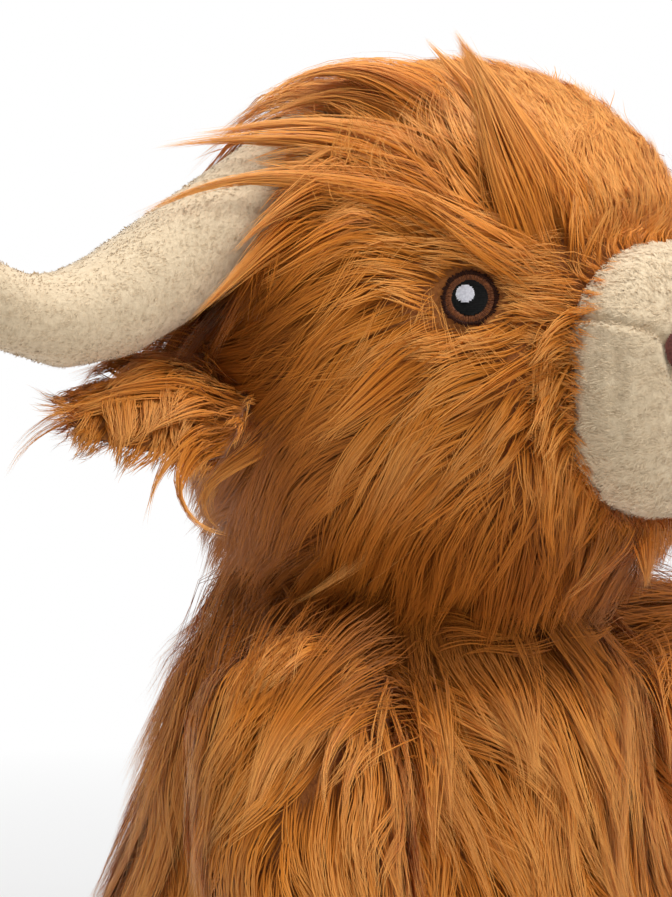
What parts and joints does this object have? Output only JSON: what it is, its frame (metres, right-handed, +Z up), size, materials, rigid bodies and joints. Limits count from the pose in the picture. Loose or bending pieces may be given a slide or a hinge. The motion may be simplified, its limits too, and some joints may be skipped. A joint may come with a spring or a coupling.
{
  "type": "plush cow",
  "caption": "Sitting plush cow with a shaggy long-pile coat, curved beige plush horns, a beige sewn muzzle, embroidered eyes, floppy ears, stuffed legs and a tail.",
  "frame": {"origin": "middle of the flat seat that the toy sits on", "axes": "+Z up, the cow faces -Y, its left side is +X"},
  "size_m": [0.3682, 0.2902, 0.3328],
  "materials": {
    "coat": "long-pile shaggy plush, russet",
    "plush": "short-pile plush, beige",
    "stuffing": "polyester fibre",
    "bag": "plain cotton, filled with pellets",
    "rim": "satin stitch",
    "iris": "satin stitch",
    "pupil": "satin stitch",
    "highlight": "satin stitch",
    "nostril": "satin stitch"
  },
  "bodies": {
    "body": {"body_skin": "coat", "body_stuffing": "stuffing", "seat_bead_bag": "bag"},
    "neck": {"neck_wadding": "stuffing"},
    "head": {"head_skin": "coat", "head_stuffing": "stuffing", "nose_panel": "plush", "muzzle_stuffing": "stuffing", "mouth_stitch": "nostril", "cheek_panel_left": "plush", "cheek_panel_right": "plush", "nostril_left": "nostril", "nostril_right": "nostril", "eye_rim_left": "rim", "eye_rim_right": "rim", "eye_iris_left": "iris", "eye_iris_right": "iris", "eye_pupil_left": "pupil", "eye_pupil_right": "pupil", "eye_highlight_left": "highlight", "eye_highlight_right": "highlight", "horn_skin_left": "plush", "horn_skin_right": "plush", "horn_stuffing_left": "stuffing", "horn_stuffing_right": "stuffing"},
    "ear_left": {"ear_back_left": "coat", "ear_lining_left": "plush"},
    "foreleg_left": {"arm_skin_left": "coat", "arm_stuffing_left": "stuffing", "front_hoof_left": "plush"},
    "hind_leg_left": {"leg_skin_left": "coat", "leg_stuffing_left": "stuffing", "rear_hoof_left": "plush"},
    "ear_right": {"ear_back_right": "coat", "ear_lining_right": "plush"},
    "foreleg_right": {"arm_skin_right": "coat", "arm_stuffing_right": "stuffing", "front_hoof_right": "plush"},
    "hind_leg_right": {"leg_skin_right": "coat", "leg_stuffing_right": "stuffing", "rear_hoof_right": "plush"},
    "tail": {"tail_skin": "coat", "tail_tuft": "coat"}
  },
  "joints": [
    {"name": "head_turn", "type": "hinge", "parent": "body", "child": "neck", "pos_m": [0, -0.006, 0.166], "axis": [0, 0, 1], "range_deg": [-25, 25], "stiffness_Nm_per_rad": 0.8},
    {"name": "head_nod", "type": "hinge", "parent": "neck", "child": "head", "pos_m": [0, -0.006, 0.166], "axis": [1, 0, 0], "range_deg": [-10, 14], "stiffness_Nm_per_rad": 3},
    {"name": "ear_left_flap", "type": "hinge", "parent": "head", "child": "ear_left", "pos_m": [0.07558, -0.01033, 0.24278], "axis": [-0.2393, 0.9709, 0], "range_deg": [-6, 35], "stiffness_Nm_per_rad": 0.1},
    {"name": "foreleg_left_swing", "type": "hinge", "parent": "body", "child": "foreleg_left", "pos_m": [0.05875, -0.02738, 0.146], "axis": [-0.8992, 0.3273, -0.2904], "range_deg": [-20, 70], "stiffness_Nm_per_rad": 0.3},
    {"name": "hind_leg_left_lift", "type": "hinge", "parent": "body", "child": "hind_leg_left", "pos_m": [0.06109, -0.07544, 0.0286], "axis": [-0.9063, -0.4226, 0], "range_deg": [0, 30], "stiffness_Nm_per_rad": 0.5},
    {"name": "ear_right_flap", "type": "hinge", "parent": "head", "child": "ear_right", "pos_m": [-0.07558, -0.01033, 0.24278], "axis": [-0.2393, -0.9709, 0], "range_deg": [-6, 35], "stiffness_Nm_per_rad": 0.1},
    {"name": "foreleg_right_swing", "type": "hinge", "parent": "body", "child": "foreleg_right", "pos_m": [-0.05875, -0.02738, 0.146], "axis": [-0.8992, -0.3273, 0.2904], "range_deg": [-20, 70], "stiffness_Nm_per_rad": 0.3},
    {"name": "hind_leg_right_lift", "type": "hinge", "parent": "body", "child": "hind_leg_right", "pos_m": [-0.06109, -0.07544, 0.0286], "axis": [-0.9063, 0.4226, 0], "range_deg": [0, 30], "stiffness_Nm_per_rad": 0.5},
    {"name": "tail_swing", "type": "hinge", "parent": "body", "child": "tail", "pos_m": [0, 0.0784, 0.08209], "axis": [0, 0.9542, 0.299], "range_deg": [-30, 30], "stiffness_Nm_per_rad": 0.03}
  ]
}
